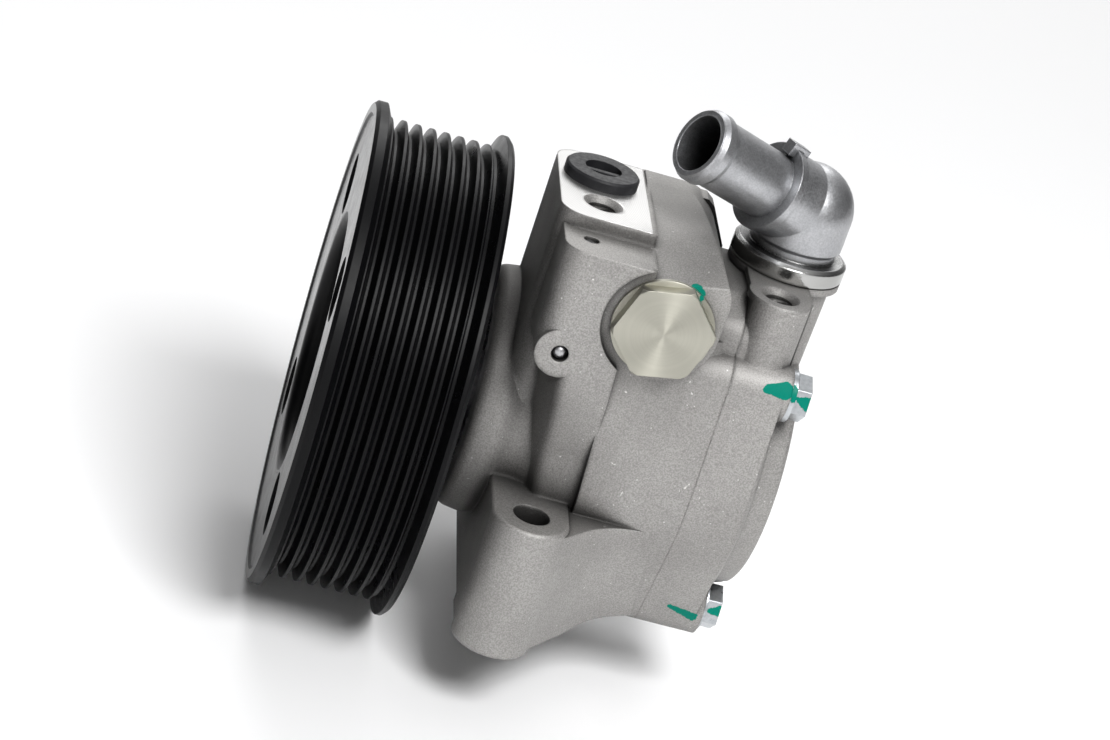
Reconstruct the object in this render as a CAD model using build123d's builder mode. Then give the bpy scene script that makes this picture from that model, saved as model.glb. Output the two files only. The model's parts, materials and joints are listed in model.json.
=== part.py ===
from build123d import *
from math import acos, atan2, cos, degrees, hypot, radians, sin, tan
import os

os.makedirs("parts", exist_ok=True)

# Frame: X runs along the shaft from the pulley to the rear cover, Z along the mounting legs.
# The origin is on the shaft axis, in the plane of the pulley's front rim. Lengths are millimetres.

# Pulley, a multi-rib belt pulley pressed from sheet steel
groove_count = 7
groove_pitch = 3.56
groove_depth = 2.9
groove_half_angle = 20
groove_root_half = 0.35
first_groove_x = 6.27
rib_radius = 57.4
flange_radius = 60.5
flange_bevel = 0.9
front_flange_width = 3.0
rear_flange_width = 1.9
shoulder_width = 0.37
relief_depth = 1.1
relief_width = 0.8
ramp_width = 1.5
web_front_x = 0.5
sheet_thickness = 3.2
rim_wall = 3.3
dish_radius = 29.5
dish_depth = 19.0
web_hole_count = 4
web_hole_radius = 7.75
web_hole_circle_radius = 42.0
web_hole_start_angle = 138

# Hub of the pulley
hub_nose_length = 7.0
hub_radius = 12.9
hub_flange_radius = 19.0
hub_flange_thickness = 3.3
hub_rear_x = 37.0
puller_groove_depth = 1.9
puller_groove_width = 1.6

# Clearances and fits
press_clearance = 0.02
running_clearance = 0.04
seat_gap = 0.3
plate_clearance = 0.04

# Shaft and bearing
shaft_radius = 8.5
shaft_front_x = 14.0
spline_radius = 7.4
spline_tooth_height = 0.7
spline_tooth_count = 12
journal_radius = 6.5
bearing_outer_radius = 23.5
bearing_width = 14.0
bearing_front_x = 43.2
ball_count = 7
ball_radius = 4.0
ball_circle_radius = 16.0
race_land = 3.0
cage_half_height = 1.4
cage_width = 9.4
snap_ring_thickness = 1.6
snap_ring_height = 3.8
snap_ring_groove_depth = 1.3
seal_width = 7.0
seal_radius = 15.0
seal_gap = 0.6

# Housing body
nose_front_x = 39.5
nose_radius = 31.2
waist_x = 52.0
waist_radius = 29.6
strip_radius = 33.0
step_x = 68.3
step_lean = 2.9
step_lean_top_z = 36.0
body_radius = 38.0
cavity_radius = 30.0
cavity_front_x = 69.5
parting_x = 93.8
upper_bolt_radius = 41.8
upper_bolt_angle = 42.4
lower_bolt_radius = 38.3
lower_bolt_angle = 32.4
upper_lobe_radius = 6.8
lower_lobe_radius = 7.6

# Mounting legs
leg_x = 57.8
leg_y = 45.6
leg_radius = 9.5
leg_hole_radius = 4.5
leg_top_z = -8.0
leg_rim_round = 0.9
leg_bottom_z = -42.0
foot_top_z = -9.2
foot_base_z = -40.6
foot_top_corner = (78.0, 37.0)
foot_bottom_corner = (83.0, 29.0)
foot_top_end_y = 36.6
foot_bottom_end_y = 25.0
foot_blend_radius = 24.0
foot_web_z = -38.2
foot_rear_z = -36.8
foot_wall = 10.6
foot_leg_inset = 0.15

# Port block with the outlet port and the bracket hole
block_left_x = 44.5
block_right_x = 67.5
block_near_y = -28.0
block_far_y = 14.0
block_top_z = 60.5
block_corner = 6.0
port_x = 54.9
port_y = -1.0
port_radius = 7.0
port_depth = 14.0
bracket_hole_y = -17.2
tapped_radius = 3.4
tapped_mouth_radius = 4.8
tapped_depth = 13.0

# Passage rib with its two sealed drillings
rib_left_x = 46.0
rib_face_y = -42.0
rib_top_z = 57.1
rib_corner = 5.5
strip_left_top_x = 54.2
strip_left_foot_x = 62.5
strip_knee_z = 25.0
pilot_x = 52.4
pilot_z = 31.7
pilot_boss_radius = 5.9
pilot_hole_radius = 2.05
gallery_y = -33.2
gallery_radius = 1.85

# Flow control valve
valve_x = 73.1
valve_z = 44.0
valve_seat_y = -40.4
valve_spotface_radius = 14.3
valve_bore_radius = 8.0
valve_bore_end_y = 7.0
valve_thread_radius = 9.0
valve_thread_length = 11.0
valve_block_left_x = 66.8
valve_boss_radius = 13.4
valve_top_round = 9.0
valve_block_top_z = 60.9
valve_front_top_z = 53.6
valve_front_top_rise = 0.19
valve_slope_knee_y = -23.0
valve_knee_drop = 2.3
valve_slope_end_y = 6.0
valve_block_far_y = 13.0
apron_top_z = 27.0
hex_flats = 21.0
hex_height = 3.5
hex_corner_radius = 12.0
hex_turn = 11
washer_radius = 11.9
washer_thickness = 1.1
spool_length = 27.0
spool_wall = 2.0
spring_wire_radius = 0.7
spring_coil_radius = 5.4
spring_turns = 6
relief_bore_radius = 3.2
relief_ball_radius = 2.4

# Rear cover
cover_plate_thickness = 15.5
cover_dome_radius = 31.5
cover_dome_root_radius = 33.5
cover_dome_x = 115.0
cover_dome_crown = 1.4
shoulder_top_z = 50.5
shoulder_left_x = 84.0
cover_bolt_radius = 3.0
cover_bolt_grip = 27.0
bolt_hole_clearance = 0.3
bolt_flange_radius = 6.5
bolt_flange_thickness = 1.3
bolt_head_flats = 10.0
bolt_head_height = 5.0
bolt_pocket_radius = 7.3
bolt_pocket_depth = 0.6
bush_radius = 9.0
bush_length = 10.0

# Inlet boss and elbow
inlet_x = 104.2
inlet_y = -1.3
inlet_boss_radius = 12.2
inlet_boss_foot_radius = 11.5
inlet_boss_foot_z = 14.0
inlet_boss_top_z = 52.6
inlet_rim_radius = 14.0
inlet_bore_radius = 9.8
inlet_seat_z = 40.5
inlet_throat_radius = 7.6
inlet_throat_z = 18.0
lug_x = 100.5
lug_y = -23.7
lug_radius = 7.6
collar_radius = 14.1
collar_thickness = 4.6
leg_tube_radius = 11.5
leg_groove_radius = 10.7
knee_z = 67.4
spigot_turn = 23.0
spigot_rise = 20.0
spigot_length = 37.6
spigot_radius = 8.25
spigot_bore_radius = 6.95
elbow_radius = 10.6
stop_ring_radius = 11.1
stop_ring_distance = 12.8
stop_ring_width = 2.0
stop_lug_height = 1.6
bead_radius = 9.0
bead_length = 5.0
bead_ramp = 1.4

# Transit cap
cap_radius = 9.1
cap_thickness = 2.7
cap_plug_radius = 6.7
cap_plug_depth = 9.0
cap_recess_radius = 4.5
cap_recess_depth = 3.2
cap_bar_width = 1.4

# Pumping group
plate_radius = 29.9
front_plate_thickness = 7.0
cam_ring_width = 12.5
cam_major_radius = 25.0
cam_minor_radius = 22.6
rotor_radius = 22.0
vane_count = 10
vane_thickness = 1.8
vane_inner_radius = 15.4
slot_root_radius = 13.4
vane_tip_gap = 0.1
dowel_radius = 2.0
dowel_circle_radius = 26.3
kidney_radius = 17.6
kidney_half_width = 1.9
kidney_span = 46
o_ring_radius = 1.0
o_ring_squeeze = 0.05
cover_seal_radius = 32.2

# Places worked out from the sizes above
rim_inner_radius = rib_radius - groove_depth - rim_wall
floor_front_x = web_front_x + dish_depth
floor_rear_x = floor_front_x + sheet_thickness
web_rear_x = web_front_x + sheet_thickness
groove_mouth_half = groove_root_half + groove_depth * tan(radians(groove_half_angle))
first_shoulder_x = first_groove_x - groove_mouth_half - shoulder_width
last_groove_x = first_groove_x + (groove_count - 1) * groove_pitch
last_shoulder_x = last_groove_x + groove_mouth_half + shoulder_width
relief_x = last_shoulder_x + relief_depth * tan(radians(groove_half_angle))
ramp_foot_x = relief_x + relief_width
ramp_top_x = ramp_foot_x + ramp_width
pulley_rear_x = ramp_top_x + rear_flange_width
bearing_rear_x = bearing_front_x + bearing_width
front_plate_rear_x = cavity_front_x + front_plate_thickness
cam_rear_x = front_plate_rear_x + cam_ring_width
cover_rear_x = parting_x + cover_plate_thickness
bolt_seat_x = cover_rear_x - bolt_pocket_depth
valve_axis = Axis((valve_x, 0, valve_z), (0, 1, 0))
spool_near_y = valve_seat_y + valve_thread_length
spool_far_y = spool_near_y + spool_length
spigot_direction = Vector(
    -cos(radians(spigot_turn)) * cos(radians(spigot_rise)),
    -sin(radians(spigot_turn)) * cos(radians(spigot_rise)),
    sin(radians(spigot_rise)),
)


# Small helpers for profiles
def near(vertices, x, y):
    """The vertex of a flat profile that lies closest to a point."""
    return sorted(vertices, key=lambda v: hypot(v.X - x, v.Y - y))[0]


def profile(plane, points, rounds=()):
    """A closed outline on a plane; rounds holds (x, y, radius) for corners to be rounded."""
    with BuildSketch(plane) as outline:
        with BuildLine():
            Polyline(*points, close=True)
        make_face()
        for x, y, radius in rounds:
            fillet(near(outline.vertices(), x, y), radius)
    return outline.sketch


def disc(plane, x, y, radius):
    """A circle on a plane."""
    with BuildSketch(plane) as outline:
        with Locations((x, y)):
            Circle(radius)
    return outline.sketch


def around(angle, radius):
    """Y and Z of a point on a circle about the shaft, its angle taken from +Y towards +Z."""
    return (radius * cos(radians(angle)), radius * sin(radians(angle)))


# Y, Z and lobe radius of the four cover bolts
bolt_places = [
    (*around(90 + upper_bolt_angle, upper_bolt_radius), upper_lobe_radius),
    (*around(90 - upper_bolt_angle, upper_bolt_radius), upper_lobe_radius),
    (*around(270 - lower_bolt_angle, lower_bolt_radius), lower_lobe_radius),
    (*around(270 + lower_bolt_angle, lower_bolt_radius), lower_lobe_radius),
]


def body_section(x):
    """Round body with its four bolt corners, as one smooth outline square to the shaft."""
    with BuildSketch(Plane.YZ.offset(x)) as outline:
        Circle(body_radius)
        for bolt_y, bolt_z, lobe in bolt_places:
            with Locations((bolt_y, bolt_z)):
                Circle(lobe)
        make_hull()
    return outline.sketch


def shoulder_section(x):
    """Raised shoulder that carries the inlet, square to the shaft."""
    points = [(-31, 20), (-29.5, 44), (-21, shoulder_top_z), (3, shoulder_top_z), (9, 38), (9, 20)]
    return profile(Plane.YZ.offset(x), points, [(-29.5, 44, 6), (-21, shoulder_top_z, 6)])


def foot_section(z, corner, end_y):
    """Outline of the mounting foot at one height: both legs, blended flanks and a rear edge."""
    corner_x, corner_y = corner
    round_radius = leg_radius - foot_leg_inset
    reach = hypot(corner_x - leg_x, leg_y - corner_y)
    bearing = degrees(atan2(leg_y - corner_y, corner_x - leg_x))
    touch = bearing - degrees(acos(round_radius / reach))
    touch_x = leg_x + round_radius * cos(radians(touch))
    touch_y = leg_y - round_radius * sin(radians(touch))
    with BuildSketch(Plane.XY.offset(z)) as outline:
        with BuildLine():
            CenterArc((leg_x, -leg_y), round_radius, 180, 180 + touch)
            Polyline((touch_x, -touch_y), (corner_x, -corner_y), (parting_x, -end_y))
            Line((parting_x, -end_y), (parting_x, end_y))
            Polyline((parting_x, end_y), (corner_x, corner_y), (touch_x, touch_y))
            CenterArc((leg_x, leg_y), round_radius, -touch, 180 + touch)
            Line((leg_x - round_radius, leg_y), (leg_x - round_radius, -leg_y))
        make_face()
        fillet(near(outline.vertices(), corner_x, -corner_y), foot_blend_radius)
        fillet(near(outline.vertices(), corner_x, corner_y), foot_blend_radius)
    return outline.sketch


def hex_outline(plane, flats, turn=0):
    """A hexagon given across its flats."""
    with BuildSketch(plane) as outline:
        RegularPolygon(flats / 2, 6, major_radius=False, rotation=turn)
    return outline.sketch


def coil_spring(centre, start_y, length, coil_radius, wire_radius, turns):
    """A round-wire compression spring along Y."""
    pitch = (length - 2 * wire_radius) / turns
    first = Vector(centre[0], start_y + wire_radius, centre[1])
    with BuildPart() as spring:
        with BuildLine() as path:
            Helix(pitch, pitch * turns, coil_radius, center=first, direction=(0, 1, 0))
        with BuildSketch(Plane(path.line @ 0, z_dir=path.line % 0)):
            RegularPolygon(wire_radius, 8)
        sweep()
    return spring


# Pulley rim, web and dish
def pulley_points():
    """Half section of the pulley, with one V groove for each belt rib."""
    points = [
        (floor_front_x, hub_radius + press_clearance),
        (floor_front_x, dish_radius),
        (web_front_x, dish_radius + 1.2),
        (web_front_x, rib_radius - 0.9),
        (0, rib_radius - 0.1),
        (0, flange_radius - flange_bevel),
        (flange_bevel, flange_radius),
        (front_flange_width, flange_radius),
        (first_shoulder_x, rib_radius),
    ]
    for groove in range(groove_count):
        middle = first_groove_x + groove * groove_pitch
        points.append((middle - groove_mouth_half, rib_radius))
        points.append((middle - groove_root_half, rib_radius - groove_depth))
        points.append((middle + groove_root_half, rib_radius - groove_depth))
        points.append((middle + groove_mouth_half, rib_radius))
    points += [
        (last_shoulder_x, rib_radius),
        (relief_x, rib_radius - relief_depth),
        (ramp_foot_x, rib_radius - relief_depth),
        (ramp_top_x, flange_radius),
        (pulley_rear_x - flange_bevel, flange_radius),
        (pulley_rear_x, flange_radius - flange_bevel),
        (pulley_rear_x, rim_inner_radius + 0.6),
        (pulley_rear_x - 0.6, rim_inner_radius),
        (web_rear_x, rim_inner_radius),
        (web_rear_x, dish_radius + sheet_thickness),
        (floor_rear_x, dish_radius + sheet_thickness),
        (floor_rear_x, hub_radius + press_clearance),
    ]
    return points


with BuildPart() as pulley:
    pulley_rounds = [
        (floor_front_x, dish_radius, 2.5),
        (web_front_x, dish_radius + 1.2, 3.0),
        (web_rear_x, rim_inner_radius, 2.5),
        (web_rear_x, dish_radius + sheet_thickness, 1.0),
        (floor_rear_x, dish_radius + sheet_thickness, 5.0),
    ]
    revolve(profile(Plane.XZ, pulley_points(), pulley_rounds), axis=Axis.X)
    with BuildSketch(Plane.YZ.offset(-1)):
        with PolarLocations(web_hole_circle_radius, web_hole_count, start_angle=web_hole_start_angle):
            Circle(web_hole_radius)
    extrude(amount=web_rear_x + 2, mode=Mode.SUBTRACT)
pulley.part.label = "pulley"

# Steel hub with its puller groove
with BuildPart() as pulley_hub:
    hub_front_x = floor_front_x - hub_nose_length
    groove_x = hub_front_x + 2.2
    revolve(
        profile(
            Plane.XZ,
            [
                (hub_front_x, shaft_radius + press_clearance),
                (hub_front_x, hub_radius - 0.8),
                (hub_front_x + 0.8, hub_radius),
                (groove_x, hub_radius),
                (groove_x, hub_radius - puller_groove_depth),
                (groove_x + puller_groove_width, hub_radius - puller_groove_depth),
                (groove_x + puller_groove_width, hub_radius),
                (floor_rear_x, hub_radius),
                (floor_rear_x, hub_flange_radius),
                (floor_rear_x + hub_flange_thickness, hub_flange_radius),
                (floor_rear_x + hub_flange_thickness, hub_radius),
                (hub_rear_x, hub_radius),
                (hub_rear_x, shaft_radius + press_clearance),
            ],
            [(floor_rear_x + hub_flange_thickness, hub_radius, 1.5)],
        ),
        axis=Axis.X,
    )
pulley_hub.part.label = "pulley_hub"

# Drive shaft, with a splined length for the rotor and a rear journal
rotor_front_x = front_plate_rear_x + plate_clearance
rotor_rear_x = cam_rear_x - plate_clearance
journal_end_x = parting_x + bush_length - 0.6
with BuildPart() as drive_shaft:
    revolve(
        profile(
            Plane.XZ,
            [
                (shaft_front_x, 0),
                (shaft_front_x, shaft_radius - 1.0),
                (shaft_front_x + 1.0, shaft_radius),
                (rotor_front_x - 1.0, shaft_radius),
                (rotor_front_x - 1.0, spline_radius),
                (rotor_rear_x + 1.0, spline_radius),
                (rotor_rear_x + 1.0, journal_radius),
                (journal_end_x, journal_radius),
                (journal_end_x, 0),
            ],
        ),
        axis=Axis.X,
    )
    with BuildSketch(Plane.YZ.offset(rotor_front_x - 1.0)):
        with PolarLocations(spline_radius, spline_tooth_count):
            Rectangle(2 * spline_tooth_height, 1.6)
    extrude(amount=rotor_rear_x - rotor_front_x + 2.0)
drive_shaft.part.label = "drive_shaft"

# Ball bearing: two rings, seven balls and their cage
bearing_middle_x = bearing_front_x + bearing_width / 2
groove_clear_radius = ball_radius + running_clearance


def race_ring(inner_radius, outer_radius):
    """A bearing ring with the ball groove turned into it."""
    with BuildPart() as ring:
        revolve(
            profile(
                Plane.XZ,
                [
                    (bearing_front_x, inner_radius),
                    (bearing_front_x, outer_radius),
                    (bearing_rear_x, outer_radius),
                    (bearing_rear_x, inner_radius),
                ],
            ),
            axis=Axis.X,
        )
        ball_track = disc(Plane.XZ, bearing_middle_x, ball_circle_radius, groove_clear_radius)
        revolve(ball_track, axis=Axis.X, mode=Mode.SUBTRACT)
    return ring


bearing_inner_ring = race_ring(shaft_radius + press_clearance, ball_circle_radius - race_land)
bearing_inner_ring.part.label = "bearing_inner_ring"
bearing_outer_ring = race_ring(ball_circle_radius + race_land, bearing_outer_radius)
bearing_outer_ring.part.label = "bearing_outer_ring"

with BuildPart() as bearing_balls:
    with Locations(Plane.YZ.offset(bearing_middle_x)):
        with PolarLocations(ball_circle_radius, ball_count):
            Sphere(ball_radius)
bearing_balls.part.label = "bearing_balls"

with BuildPart() as bearing_cage:
    with BuildSketch(Plane.YZ.offset(bearing_middle_x - cage_width / 2)):
        Circle(ball_circle_radius + cage_half_height)
        Circle(ball_circle_radius - cage_half_height, mode=Mode.SUBTRACT)
    extrude(amount=cage_width)
    for ball in range(ball_count):
        pocket_direction = Vector(0, *around(ball * 360 / ball_count, 1))
        pocket_plane = Plane(Vector(bearing_middle_x, 0, 0), x_dir=(1, 0, 0), z_dir=pocket_direction)
        with BuildSketch(pocket_plane.offset(ball_circle_radius - ball_radius)):
            Circle(groove_clear_radius)
        extrude(amount=2 * ball_radius, mode=Mode.SUBTRACT)
bearing_cage.part.label = "bearing_cage"

# Snap ring that holds the bearing in the nose
snap_ring_x = bearing_front_x - snap_ring_thickness
snap_groove_radius = bearing_outer_radius + snap_ring_groove_depth
with BuildPart() as bearing_snap_ring:
    with BuildSketch(Plane.YZ.offset(snap_ring_x)):
        Circle(snap_groove_radius - 0.1)
        Circle(snap_groove_radius - snap_ring_height, mode=Mode.SUBTRACT)
        with Locations((0, -snap_groove_radius)):
            Rectangle(7, 2 * snap_ring_height + 2, mode=Mode.SUBTRACT)
        ear_height = snap_groove_radius - snap_ring_height - 0.6
        with Locations((-5.2, -ear_height), (5.2, -ear_height)):
            Circle(2.3)
            Circle(0.9, mode=Mode.SUBTRACT)
    extrude(amount=snap_ring_thickness)
bearing_snap_ring.part.label = "bearing_snap_ring"

# Shaft lip seal
seal_front_x = bearing_rear_x + seal_gap
with BuildPart() as shaft_seal:
    revolve(
        profile(
            Plane.XZ,
            [
                (seal_front_x, shaft_radius + 1.2),
                (seal_front_x, seal_radius),
                (seal_front_x + seal_width, seal_radius),
                (seal_front_x + seal_width, seal_radius - 1.2),
                (seal_front_x + 1.6, seal_radius - 1.2),
                (seal_front_x + 1.6, shaft_radius + 2.4),
                (seal_front_x + 4.6, shaft_radius + 2.0),
                (seal_front_x + 5.6, shaft_radius + running_clearance),
                (seal_front_x + 4.8, shaft_radius + running_clearance),
                (seal_front_x + 3.6, shaft_radius + 0.9),
            ],
        ),
        axis=Axis.X,
    )
shaft_seal.part.label = "shaft_seal"

# Strip that runs down the near side from the pilot boss, ahead of the step
strip_top_z = pilot_z + 5
strip_foot_z = -9.0
with BuildPart() as front_strip:
    strip_faces = [
        (rib_face_y, strip_left_top_x, strip_left_foot_x),
        (-15, strip_left_top_x - 8, strip_left_foot_x - 14),
    ]
    strip_ends = []
    for face_y, left_top_x, left_foot_x in strip_faces:
        strip_ends.append(
            profile(
                Plane.XZ.offset(-face_y),
                [
                    (left_top_x, strip_top_z),
                    (left_top_x, strip_knee_z),
                    (left_foot_x, strip_foot_z),
                    (step_x + 0.4, strip_foot_z),
                    (step_x + 0.4 - step_lean, strip_top_z),
                ],
                [(left_top_x, strip_knee_z, 40)],
            )
        )
    loft(strip_ends, ruled=True)
    strip_outline = profile(
        Plane.YZ.offset(strip_left_top_x - 20),
        [
            (rib_face_y, strip_top_z),
            (rib_face_y, strip_knee_z - 2),
            (-36.6, 4),
            (-35.0, strip_foot_z),
            (-15, strip_foot_z),
            (-15, strip_top_z),
        ],
        [(rib_face_y, strip_knee_z - 2, 24), (-36.6, 4, 20)],
    )
    extrude(strip_outline, amount=step_x + 1 - (strip_left_top_x - 20), mode=Mode.INTERSECT)
    left_edges = front_strip.edges().filter_by(lambda edge: edge.center().Y < -32)
    left_limit = strip_left_foot_x + 1
    left_edges = left_edges.filter_by(lambda edge: strip_left_top_x - 4 < edge.center().X < left_limit)
    left_edges = left_edges.filter_by(lambda edge: strip_foot_z + 1 < edge.center().Z < strip_top_z - 1)
    fillet(left_edges, 3.0)

# Machined pads on top of the two legs, with a rounded rim
with BuildPart() as leg_pads:
    with BuildSketch(Plane.XY.offset(foot_top_z - 1)):
        with Locations((leg_x, -leg_y), (leg_x, leg_y)):
            Circle(leg_radius)
        with Locations((leg_x, 0)):
            Rectangle(2 * leg_radius, 2 * leg_y)
    extrude(amount=leg_top_z - foot_top_z + 1)
    fillet(leg_pads.edges().group_by(Axis.Z)[-1], leg_rim_round)

# Valve block: round boss below, flat top that slopes down to the near side
with BuildPart() as valve_block:
    with BuildSketch(Plane.XZ.offset(-valve_seat_y)):
        with Locations((valve_x, valve_z)):
            Circle(valve_boss_radius)
        round_x = valve_x + valve_boss_radius - valve_top_round
        with Locations((round_x, valve_block_top_z - valve_top_round)):
            Circle(valve_top_round)
        with Locations((valve_block_left_x + 1, valve_block_top_z - 1)):
            Rectangle(2, 2)
        make_hull()
        with Locations((valve_block_left_x + 20, valve_z)):
            Rectangle(40, 60, mode=Mode.INTERSECT)
    extrude(amount=-(valve_block_far_y - valve_seat_y))
    slope_ends = []
    for slope_x in (valve_block_left_x - 1, valve_x + valve_boss_radius + 1):
        near_top_z = valve_front_top_z + (slope_x - valve_block_left_x) * valve_front_top_rise
        slope_ends.append(
            profile(
                Plane.YZ.offset(slope_x),
                [
                    (valve_seat_y - 1, near_top_z),
                    (valve_slope_knee_y, valve_block_top_z - valve_knee_drop),
                    (valve_slope_end_y, valve_block_top_z),
                    (valve_slope_end_y, valve_block_top_z + 9),
                    (valve_seat_y - 1, valve_block_top_z + 9),
                ],
                [(valve_slope_knee_y, valve_block_top_z - valve_knee_drop, 50)],
            )
        )
    loft(slope_ends, ruled=True, mode=Mode.SUBTRACT)

# Round body's front, whose near side leans forward towards the top, with the wall below the valve
apron_reach = hypot(valve_seat_y, apron_top_z)
apron_turn = degrees(atan2(apron_top_z, -valve_seat_y)) - degrees(acos(body_radius / apron_reach))
apron_end = (-body_radius * cos(radians(apron_turn)), body_radius * sin(radians(apron_turn)))
apron_rest = [apron_end, (-15, apron_end[1]), (-15, valve_z - 4)]
apron_face = [(valve_seat_y, valve_z - 4), (valve_seat_y, apron_top_z)]
apron_back = [(-27.5, valve_z - 4), (-31.5, apron_top_z)]
with BuildPart() as leaning_front:
    front_plane = Plane.YZ.offset(step_x - step_lean)
    front_wall = profile(front_plane, apron_face + apron_rest, [(valve_seat_y, apron_top_z, 16)])
    extrude(front_wall, amount=step_lean + 1)
    extrude(body_section(step_x - step_lean), amount=step_lean + 0.5)
    lean_cut = profile(
        Plane.XZ.offset(body_radius),
        [
            (step_x - step_lean - 1, body_radius + 20),
            (step_x + 0.4, body_radius + 20),
            (step_x + 0.4, step_lean_top_z + 2),
            (step_x - step_lean, step_lean_top_z + 2),
            (step_x - step_lean, step_lean_top_z),
            (step_x + 0.4, leg_top_z - 4),
            (step_x + 0.4, -body_radius - 20),
            (step_x - step_lean - 1, -body_radius - 20),
        ],
    )
    extrude(lean_cut, amount=8, mode=Mode.SUBTRACT)
    extrude(lean_cut, amount=-2 * body_radius, mode=Mode.SUBTRACT)
    with Locations(Pos(step_x, body_radius + 5, 0)):
        Box(4 * step_lean, 2 * body_radius + 40, 4 * body_radius, mode=Mode.SUBTRACT)

# Housing casting
with BuildPart() as housing:
    # Foot with both mounting legs, wider at its base, hollowed under the body
    foot_base = foot_section(foot_base_z, foot_bottom_corner, foot_bottom_end_y)
    foot_top = foot_section(foot_top_z, foot_top_corner, foot_top_end_y)
    loft([foot_base, foot_top], ruled=True)
    with BuildSketch(Plane.XY.offset(leg_bottom_z)):
        with Locations((leg_x, -leg_y), (leg_x, leg_y)):
            Circle(leg_radius)
    extrude(amount=foot_top_z - leg_bottom_z)
    add(leg_pads.part)
    pocket = profile(
        Plane.XZ.offset(-(leg_y - foot_wall)),
        [
            (leg_x - leg_radius - 1, leg_bottom_z - 1),
            (leg_x - leg_radius - 1, foot_web_z),
            (leg_x + leg_radius, foot_web_z),
            (leg_x + leg_radius, leg_bottom_z - 1),
        ],
    )
    extrude(pocket, amount=2 * (leg_y - foot_wall), mode=Mode.SUBTRACT)
    slope = profile(
        Plane.XZ.offset(-leg_y - leg_radius - 1),
        [
            (leg_x + leg_radius, leg_bottom_z - 1),
            (leg_x + leg_radius, leg_bottom_z),
            (parting_x + 1, foot_rear_z),
            (parting_x + 1, leg_bottom_z - 1),
        ],
    )
    extrude(slope, amount=2 * (leg_y + leg_radius + 1), mode=Mode.SUBTRACT)

    # Turned nose and front strip, then the round body with its bolt corners
    revolve(
        profile(
            Plane.XZ,
            [
                (nose_front_x, 0),
                (nose_front_x, nose_radius - 1.0),
                (nose_front_x + 6.5, nose_radius),
                (waist_x, waist_radius),
                (step_x - 9.5, strip_radius),
                (step_x + 1, strip_radius),
                (step_x + 1, 0),
            ],
            [
                (nose_front_x, nose_radius - 1.0, 3.0),
                (nose_front_x + 6.5, nose_radius, 6.0),
                (waist_x, waist_radius, 8.0),
                (step_x - 9.5, strip_radius, 6.0),
            ],
        ),
        axis=Axis.X,
    )
    extrude(body_section(step_x), amount=parting_x - step_x)
    extrude(shoulder_section(shoulder_left_x), amount=parting_x - shoulder_left_x)

    # Port block
    port_block = profile(
        Plane.XY,
        [
            (block_left_x, block_near_y),
            (block_right_x, block_near_y),
            (block_right_x, block_far_y),
            (block_left_x, block_far_y),
        ],
        [(block_left_x, block_near_y, block_corner), (block_left_x, block_far_y, block_corner)],
    )
    extrude(port_block, amount=block_top_z)

    # Passage rib, its round pilot boss and the strip that runs down from it
    rib = profile(
        Plane.XY.offset(pilot_z),
        [
            (rib_left_x, rib_face_y),
            (valve_block_left_x + 1, rib_face_y),
            (valve_block_left_x + 1, block_near_y + 6),
            (rib_left_x, block_near_y + 6),
        ],
        [(rib_left_x, rib_face_y, rib_corner)],
    )
    extrude(rib, amount=rib_top_z - pilot_z)
    extrude(disc(Plane.XZ.offset(-rib_face_y), pilot_x, pilot_z, pilot_boss_radius), amount=rib_face_y + 15)
    add(front_strip.part)

    # Valve block with its sloping top, its apron and the wall behind it
    add(valve_block.part)

    # Wall that runs from the valve block's face to the round body as a tangent
    add(leaning_front.part)
    apron = profile(Plane.YZ.offset(step_x), apron_face + apron_rest, [(valve_seat_y, apron_top_z, 16)])
    extrude(apron, amount=valve_x - step_x)
    apron_near = profile(Plane.YZ.offset(valve_x), apron_face + apron_rest, [(valve_seat_y, apron_top_z, 16)])
    apron_far = profile(Plane.YZ.offset(parting_x), apron_back + apron_rest, [(-31.5, apron_top_z, 16)])
    loft([apron_near, apron_far], ruled=True)
    rear_wall = profile(
        Plane.XZ.offset(-7),
        [(valve_block_left_x, 40), (valve_block_left_x, 60), (83, 60), (85, 58.5), (90, 49.5), (90, 30)],
    )
    extrude(rear_wall, amount=-(valve_block_far_y - 7))

    # Bearing pocket, seal seat, shaft passage and the cavity of the pumping group
    pocket_radius = bearing_outer_radius + press_clearance
    revolve(
        profile(
            Plane.XZ,
            [
                (nose_front_x - 1, 0),
                (nose_front_x - 1, pocket_radius),
                (snap_ring_x - 0.05, pocket_radius),
                (snap_ring_x - 0.05, snap_groove_radius),
                (bearing_front_x, snap_groove_radius),
                (bearing_front_x, pocket_radius),
                (bearing_rear_x, pocket_radius),
                (bearing_rear_x, seal_radius + press_clearance),
                (seal_front_x + seal_width, seal_radius + press_clearance),
                (seal_front_x + seal_width, shaft_radius + 0.4),
                (cavity_front_x, shaft_radius + 0.4),
                (cavity_front_x, cavity_radius),
                (parting_x + 1, cavity_radius),
                (parting_x + 1, 0),
            ],
        ),
        axis=Axis.X,
        mode=Mode.SUBTRACT,
    )

    # Leg holes and cover bolt holes
    for side in (-1, 1):
        leg_hole = disc(Plane.XY.offset(leg_bottom_z - 1), leg_x, side * leg_y, leg_hole_radius)
        extrude(leg_hole, amount=leg_top_z - leg_bottom_z + 2, mode=Mode.SUBTRACT)
    for bolt_y, bolt_z, lobe in bolt_places:
        bolt_hole = disc(Plane.YZ.offset(parting_x + 1), bolt_y, bolt_z, cover_bolt_radius + press_clearance)
        bolt_hole_depth = cover_bolt_grip - cover_plate_thickness + 3
        extrude(bolt_hole, amount=-bolt_hole_depth, mode=Mode.SUBTRACT)

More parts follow.
